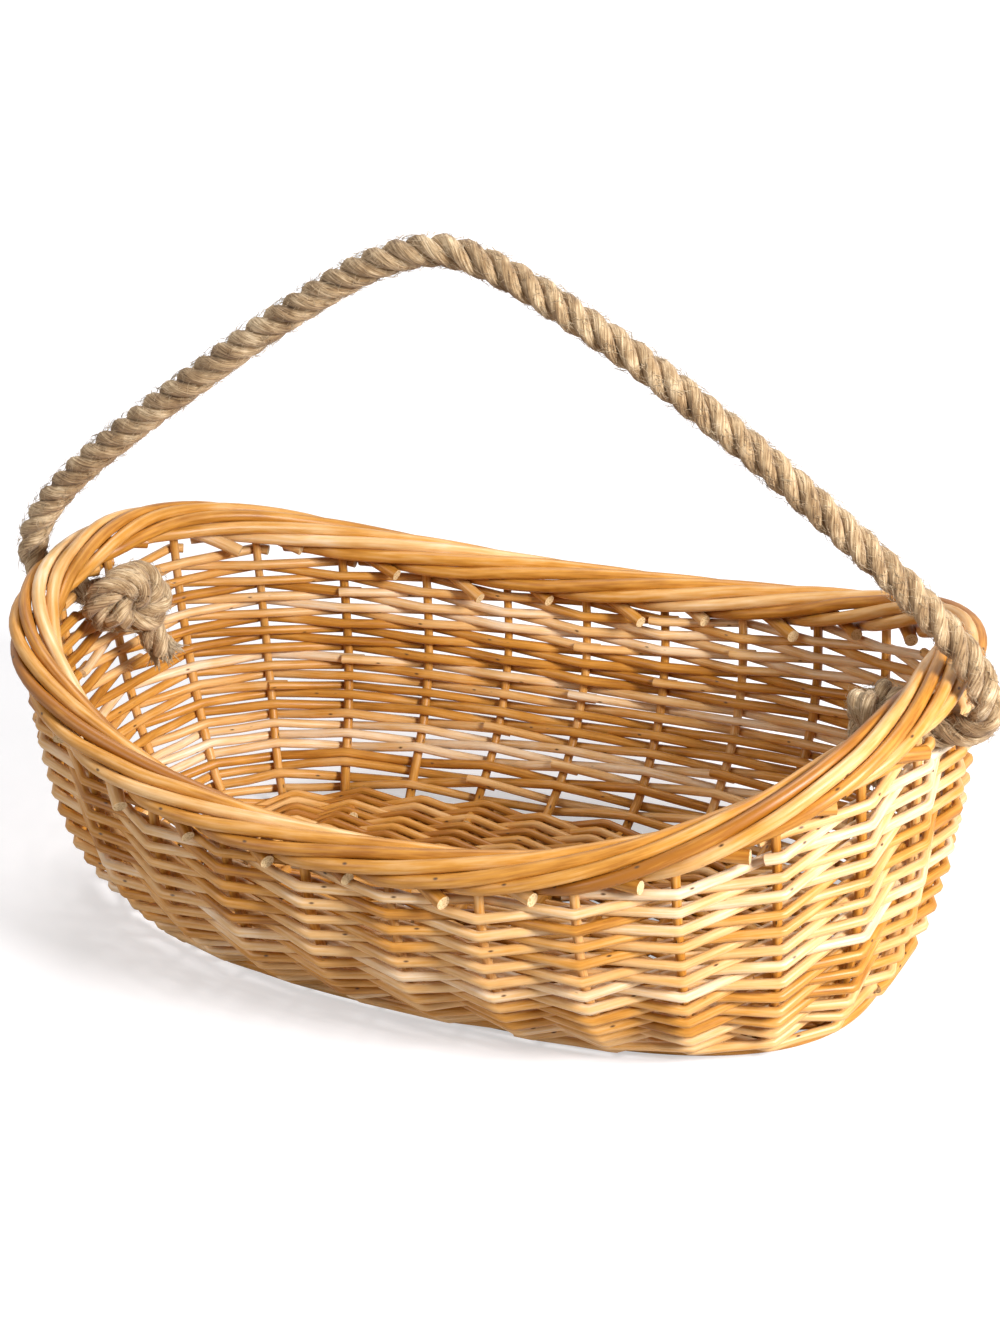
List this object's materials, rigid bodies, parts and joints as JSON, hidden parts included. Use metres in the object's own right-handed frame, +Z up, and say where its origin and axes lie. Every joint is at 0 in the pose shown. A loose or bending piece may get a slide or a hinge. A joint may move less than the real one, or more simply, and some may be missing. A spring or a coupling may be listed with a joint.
{
  "type": "trug garden basket",
  "caption": "Oval woven willow trug with a woven floor, flared randed walls, a rolled border that dips at both long sides, and a thick rope handle that swings over it.",
  "frame": {"origin": "middle of the underside of the floor, on the ground it stands on", "axes": "+X along the basket towards its wider end, +Y across it, +Z up"},
  "size_m": [0.6722, 0.4162, 0.4558],
  "materials": {
    "floor_willow": "natural stripped willow",
    "stake_willow": "natural stripped willow",
    "side_willow": "natural buff willow",
    "border_willow": "natural buff willow",
    "jute_rope": "laid jute rope"
  },
  "bodies": {
    "basket": {"base_cross_sticks": "floor_willow", "base_long_sticks": "floor_willow", "base_weave_inner": "floor_willow", "base_weave_outer": "floor_willow", "base_edge_rod": "floor_willow", "stake_01": "stake_willow", "stake_02": "stake_willow", "stake_03": "stake_willow", "stake_04": "stake_willow", "stake_05": "stake_willow", "stake_06": "stake_willow", "stake_07": "stake_willow", "stake_08": "stake_willow", "stake_09": "stake_willow", "stake_10": "stake_willow", "stake_11": "stake_willow", "stake_12": "stake_willow", "stake_13": "stake_willow", "stake_14": "stake_willow", "stake_15": "stake_willow", "stake_16": "stake_willow", "stake_17": "stake_willow", "stake_18": "stake_willow", "stake_19": "stake_willow", "stake_20": "stake_willow", "stake_21": "stake_willow", "stake_22": "stake_willow", "stake_23": "stake_willow", "stake_24": "stake_willow", "stake_25": "stake_willow", "stake_26": "stake_willow", "stake_27": "stake_willow", "stake_28": "stake_willow", "upsett_wale": "side_willow", "side_weave_1": "side_willow", "side_weave_2": "side_willow", "side_weave_3": "side_willow", "side_weave_4": "side_willow", "side_weave_5": "side_willow", "end_packing_left": "side_willow", "end_packing_right": "side_willow", "border_rods_01": "border_willow", "border_rods_02": "border_willow", "border_rods_03": "border_willow", "border_rods_04": "border_willow", "border_rods_05": "border_willow", "border_rods_06": "border_willow", "border_rods_07": "border_willow", "border_rods_08": "border_willow", "border_rods_09": "border_willow", "border_rods_10": "border_willow", "border_rods_11": "border_willow", "border_rods_12": "border_willow", "border_rods_13": "border_willow", "border_rods_14": "border_willow"},
    "handle": {"rope_handle": "jute_rope", "left_knot": "jute_rope", "right_knot": "jute_rope"}
  },
  "joints": [
    {"name": "handle_swing", "type": "hinge", "parent": "basket", "child": "handle", "pos_m": [0, 0, 0.1845], "axis": [1, 0, 0], "range_deg": [-40, 40]}
  ]
}
